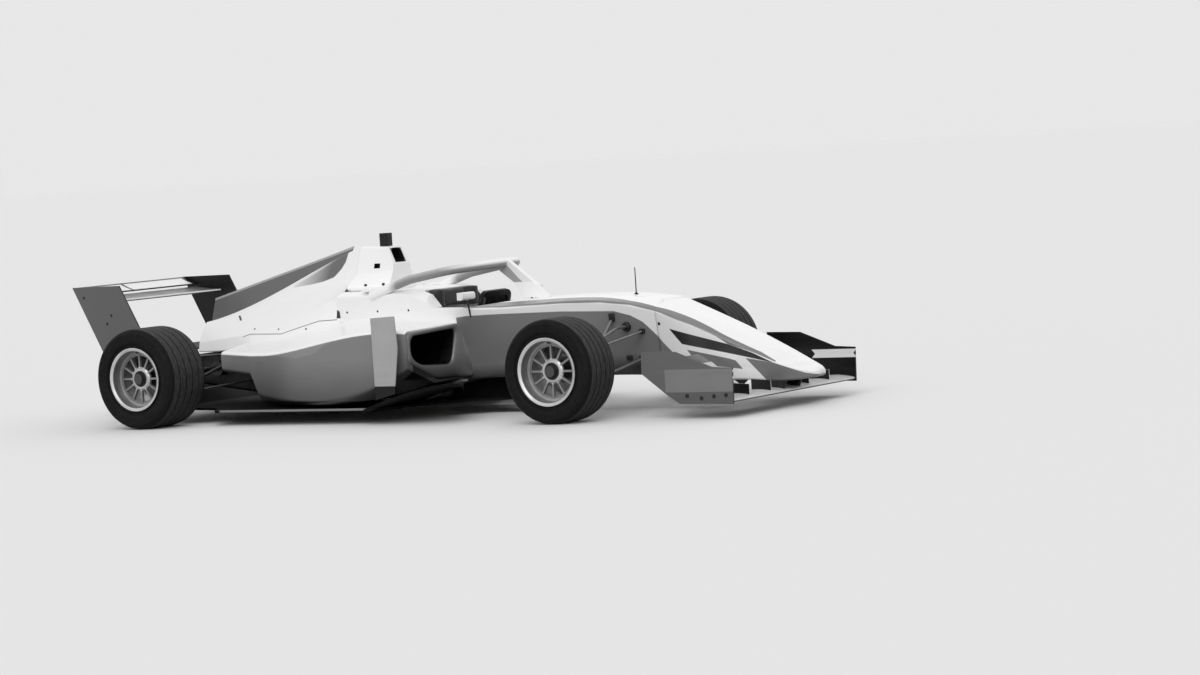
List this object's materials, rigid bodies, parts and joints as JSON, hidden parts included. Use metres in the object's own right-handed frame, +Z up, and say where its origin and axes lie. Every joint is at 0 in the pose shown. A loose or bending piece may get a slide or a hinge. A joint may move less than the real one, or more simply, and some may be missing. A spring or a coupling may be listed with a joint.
{
  "type": "open wheel racing car",
  "caption": "Single seat open wheel racing car with slick tyres, multi-element wings, a cockpit protection hoop, sidepods and a finned engine cover.",
  "frame": {"origin": "on the ground below the middle of the car's length and width", "axes": "+X forward to the nose, +Y to the car's left, +Z up"},
  "size_m": [4.81, 1.826, 1.033],
  "materials": {
    "body_white": "gloss",
    "body_grey": "gloss",
    "body_light": "gloss",
    "carbon": "satin",
    "black_plastic": "matte",
    "pad_fabric": "woven",
    "seat_cover": "woven",
    "steel": "brushed",
    "engine_alloy": "cast",
    "upright_alloy": "machined",
    "radiator_alloy": "matte",
    "rim_metal": "satin",
    "disc_iron": "machined",
    "tyre_rubber": "matte",
    "plank_wood": "worn",
    "rain_lens": "gloss",
    "hot_steel": "heat stained"
  },
  "bodies": {
    "chassis": {"airbox": "body_white", "camera_box": "black_plastic", "crash_structure": "carbon", "diffuser": "carbon", "driveshafts": "steel", "engine": "engine_alloy", "engine_cover": "body_white", "exhaust": "hot_steel", "floor": "carbon", "front_suspension": "carbon", "front_wing_endplates": "body_grey", "front_wing_planes": "carbon", "gearbox": "engine_alloy", "halo": "body_white", "headrest": "pad_fabric", "mirrors": "body_grey", "monocoque": "body_grey", "nose_cone": "body_white", "plank": "plank_wood", "radiators": "radiator_alloy", "rain_light": "rain_lens", "rear_suspension": "carbon", "rear_uprights": "upright_alloy", "rear_wing_endplates": "body_grey", "rear_wing_planes": "body_light", "rear_wing_supports": "carbon", "seat": "seat_cover", "shark_fin": "body_grey", "sidepod_left": "body_white", "sidepod_right": "body_white", "sidepod_vanes": "body_light", "steering_column": "steel"},
    "knuckle_right": {"knuckle_right": "upright_alloy"},
    "knuckle_left": {"knuckle_left": "upright_alloy"},
    "wheel_front_right": {"tyre_front_right": "tyre_rubber", "rim_front_right": "rim_metal", "hub_front_right": "disc_iron"},
    "wheel_front_left": {"tyre_front_left": "tyre_rubber", "rim_front_left": "rim_metal", "hub_front_left": "disc_iron"},
    "wheel_rear_right": {"tyre_rear_right": "tyre_rubber", "rim_rear_right": "rim_metal", "hub_rear_right": "disc_iron"},
    "wheel_rear_left": {"tyre_rear_left": "tyre_rubber", "rim_rear_left": "rim_metal", "hub_rear_left": "disc_iron"},
    "steering_wheel": {"steering_wheel": "black_plastic"},
    "steering_rack": {"track_rods": "steel"}
  },
  "joints": [
    {"name": "steer_right", "type": "hinge", "parent": "chassis", "child": "knuckle_right", "pos_m": [1.233, -0.64, 0.28], "axis": [0, 0, 1], "range_deg": [-16, 16]},
    {"name": "steer_left", "type": "hinge", "parent": "chassis", "child": "knuckle_left", "pos_m": [1.233, 0.64, 0.28], "axis": [0, 0, 1], "range_deg": [-16.2, 16.2]},
    {"name": "rack_slide", "type": "slide", "parent": "chassis", "child": "steering_rack", "axis": [0, 1, 0], "range_m": [-0.0236, 0.0236]},
    {"name": "steering_wheel_turn", "type": "hinge", "parent": "chassis", "child": "steering_wheel", "pos_m": [0.3, 0, 0.6], "axis": [0.9659, 0, -0.2588], "range_deg": [-177, 177]},
    {"name": "spin_front_right", "type": "hinge", "parent": "knuckle_right", "child": "wheel_front_right", "pos_m": [1.233, -0.755, 0.28], "axis": [0, 1, 0], "continuous": true},
    {"name": "spin_front_left", "type": "hinge", "parent": "knuckle_left", "child": "wheel_front_left", "pos_m": [1.233, 0.755, 0.28], "axis": [0, 1, 0], "continuous": true},
    {"name": "spin_rear_right", "type": "hinge", "parent": "chassis", "child": "wheel_rear_right", "pos_m": [-1.617, -0.755, 0.29], "axis": [0, 1, 0], "continuous": true},
    {"name": "spin_rear_left", "type": "hinge", "parent": "chassis", "child": "wheel_rear_left", "pos_m": [-1.617, 0.755, 0.29], "axis": [0, 1, 0], "continuous": true}
  ],
  "couplings": [
    {"joint": "steer_left", "follows": "steer_right", "ratio": 1},
    {"joint": "rack_slide", "follows": "steer_right", "m_per_rad": 0.0839},
    {"joint": "steering_wheel_turn", "follows": "steer_right", "ratio": -11}
  ]
}
